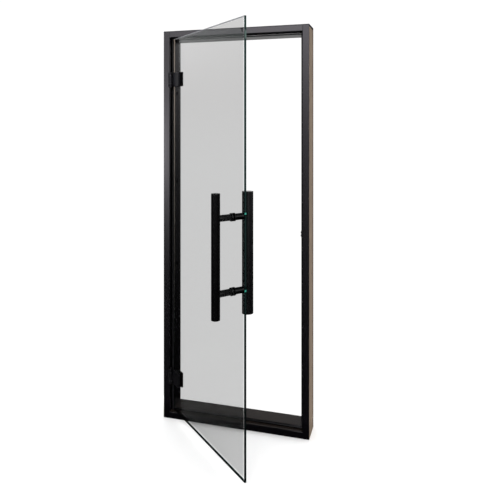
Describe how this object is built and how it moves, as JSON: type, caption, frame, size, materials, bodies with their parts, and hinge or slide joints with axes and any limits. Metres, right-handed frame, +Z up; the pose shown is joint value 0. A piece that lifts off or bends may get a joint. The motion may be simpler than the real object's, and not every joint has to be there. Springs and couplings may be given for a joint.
{
  "type": "glass door",
  "caption": "Frameless glass door leaf on clamp hinges, with round bar handles on both sides, in a rebated wooden frame with seals.",
  "frame": {"origin": "middle of the sill's underside", "axes": "+X to the strike side, +Y from the opening side to the stop side, +Z up"},
  "size_m": [0.72, 0.5407, 1.89],
  "materials": {
    "painted_timber": "satin black paint on timber, bare on the outer sides",
    "dowel_wood": "bare beech",
    "black_rubber": "matt black rubber",
    "black_metal": "satin black powder coat",
    "steel": "plain steel",
    "black_screw": "blackened steel",
    "clear_glass": "clear toughened glass with a light grey tint and polished edges",
    "nylon": "plain moulded plastic",
    "black_nylon": "black moulded plastic"
  },
  "bodies": {
    "frame": {"hinge_jamb": "painted_timber", "strike_jamb": "painted_timber", "head_rail": "painted_timber", "sill": "painted_timber", "corner_dowels": "dowel_wood", "seal_hinge_side": "black_rubber", "seal_strike_side": "black_rubber", "seal_head": "black_rubber", "seal_sill": "black_rubber", "stop_buffer": "black_rubber", "upper_hinge_plate": "black_metal", "lower_hinge_plate": "black_metal", "upper_hinge_pin": "black_screw", "lower_hinge_pin": "black_screw", "hinge_plate_screws": "black_screw"},
    "leaf": {"glass_panel": "clear_glass", "upper_clamp_outer": "black_metal", "lower_clamp_outer": "black_metal", "upper_clamp_inner": "black_metal", "lower_clamp_inner": "black_metal", "upper_clamp_gaskets": "black_rubber", "lower_clamp_gaskets": "black_rubber", "upper_hinge_bush": "black_nylon", "lower_hinge_bush": "black_nylon", "clamp_screws": "black_screw", "clamp_sleeves": "nylon", "outer_bar": "black_metal", "outer_bar_caps": "black_metal", "outer_posts": "black_metal", "outer_collars": "black_metal", "inner_bar": "black_metal", "inner_bar_caps": "black_metal", "inner_posts": "black_metal", "inner_collars": "black_metal", "handle_washers": "black_rubber", "handle_sleeves": "nylon", "handle_studs": "steel", "grub_screws": "black_screw"}
  },
  "joints": [
    {"name": "leaf_swing", "type": "hinge", "parent": "frame", "child": "leaf", "pos_m": [-0.321, -0.062, 0.93], "axis": [0, 0, -1], "range_deg": [-41, 79]}
  ]
}
